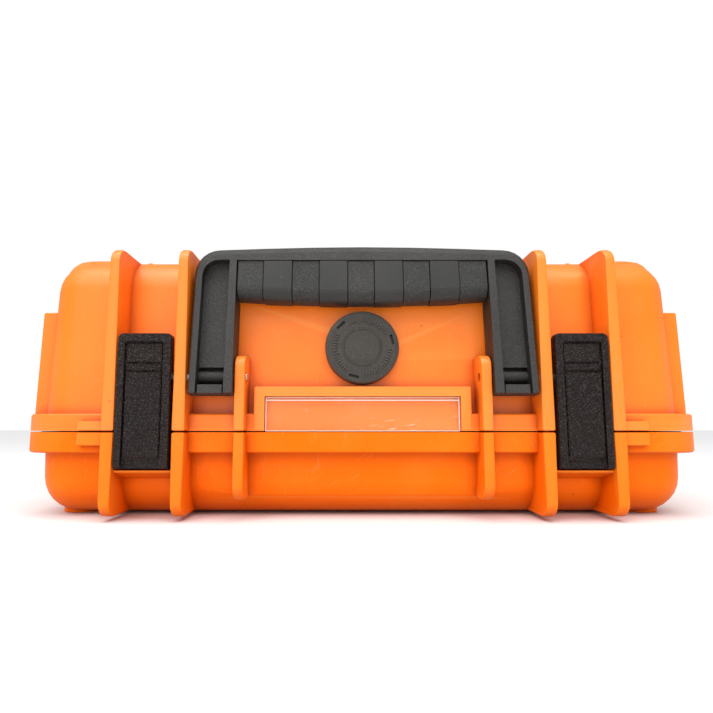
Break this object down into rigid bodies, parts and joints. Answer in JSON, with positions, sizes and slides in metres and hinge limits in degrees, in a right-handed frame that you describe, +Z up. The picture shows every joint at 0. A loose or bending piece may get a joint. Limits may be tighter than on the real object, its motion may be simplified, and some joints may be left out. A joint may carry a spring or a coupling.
{
  "type": "hard first aid case",
  "caption": "Waterproof moulded hard case for first aid supplies, with folding handle, swinging latches, pressure valve, label window and fitted dressings.",
  "frame": {"origin": "on the ground under the middle of the case, z = 0 at the underside of the feet", "axes": "+X to the right seen from the latch side, +Y from the latches to the rear hinge, +Z up through the deep shell"},
  "size_m": [0.328, 0.2806, 0.13],
  "materials": {
    "orange_shell": "injection moulded polypropylene, satin, fine scuffs",
    "black_plastic": "grained black nylon",
    "valve_plastic": "smooth satin black",
    "grip": "soft moulded grip, alternately grained and smooth",
    "steel": "drawn steel rod",
    "seal": "matt seal rubber",
    "window": "clear, glossy, lightly scratched",
    "membrane": "white microporous film",
    "foam": "open foam",
    "divider": "closed-cell foam board",
    "gauze": "woven gauze",
    "cloth": "plain cotton",
    "paper": "sealed paper sachet",
    "card": "printed plain card",
    "foil": "gold metallised film",
    "tape": "zinc-oxide tape"
  },
  "bodies": {
    "base": {"base_shell": "orange_shell", "gasket": "seal", "hinge_pin_left": "steel", "hinge_pin_right": "steel", "base_mat": "foam", "divider_long": "divider", "divider_front_left": "divider", "divider_front_right": "divider", "divider_back_left": "divider", "divider_back_right": "divider", "bandage_roll_1": "gauze", "bandage_roll_2": "gauze", "plaster_box": "card", "tweezers": "steel", "tape_roll": "tape", "tape_core": "card", "triangular_bandage": "cloth", "foil_blanket": "foil", "gauze_pack_1": "paper", "gauze_pack_2": "paper", "gauze_pack_3": "paper"},
    "lid": {"lid_shell": "orange_shell", "label_window": "window", "valve_cap": "valve_plastic", "valve_body": "black_plastic", "valve_o_ring": "seal", "valve_membrane": "membrane", "valve_nut": "black_plastic", "front_pin_left": "steel", "front_pin_right": "steel", "lid_foam": "foam"},
    "handle": {"handle_frame": "black_plastic", "handle_grip": "grip"},
    "latch_left": {"latch_left": "black_plastic"},
    "latch_right": {"latch_right": "black_plastic"}
  },
  "joints": [
    {"name": "lid_hinge", "type": "hinge", "parent": "base", "child": "lid", "pos_m": [0, 0.13433, 0.04], "axis": [-1, 0, 0], "range_deg": [0, 100]},
    {"name": "handle_swing", "type": "hinge", "parent": "lid", "child": "handle", "pos_m": [0, -0.13187, 0.0648], "axis": [1, 0, 0], "range_deg": [0, 95]},
    {"name": "latch_left_swing", "type": "hinge", "parent": "lid", "child": "latch_left", "pos_m": [-0.09875, -0.13187, 0.0648], "axis": [-1, 0, 0], "range_deg": [0, 32]},
    {"name": "latch_right_swing", "type": "hinge", "parent": "lid", "child": "latch_right", "pos_m": [0.09875, -0.13187, 0.0648], "axis": [-1, 0, 0], "range_deg": [0, 32]}
  ]
}
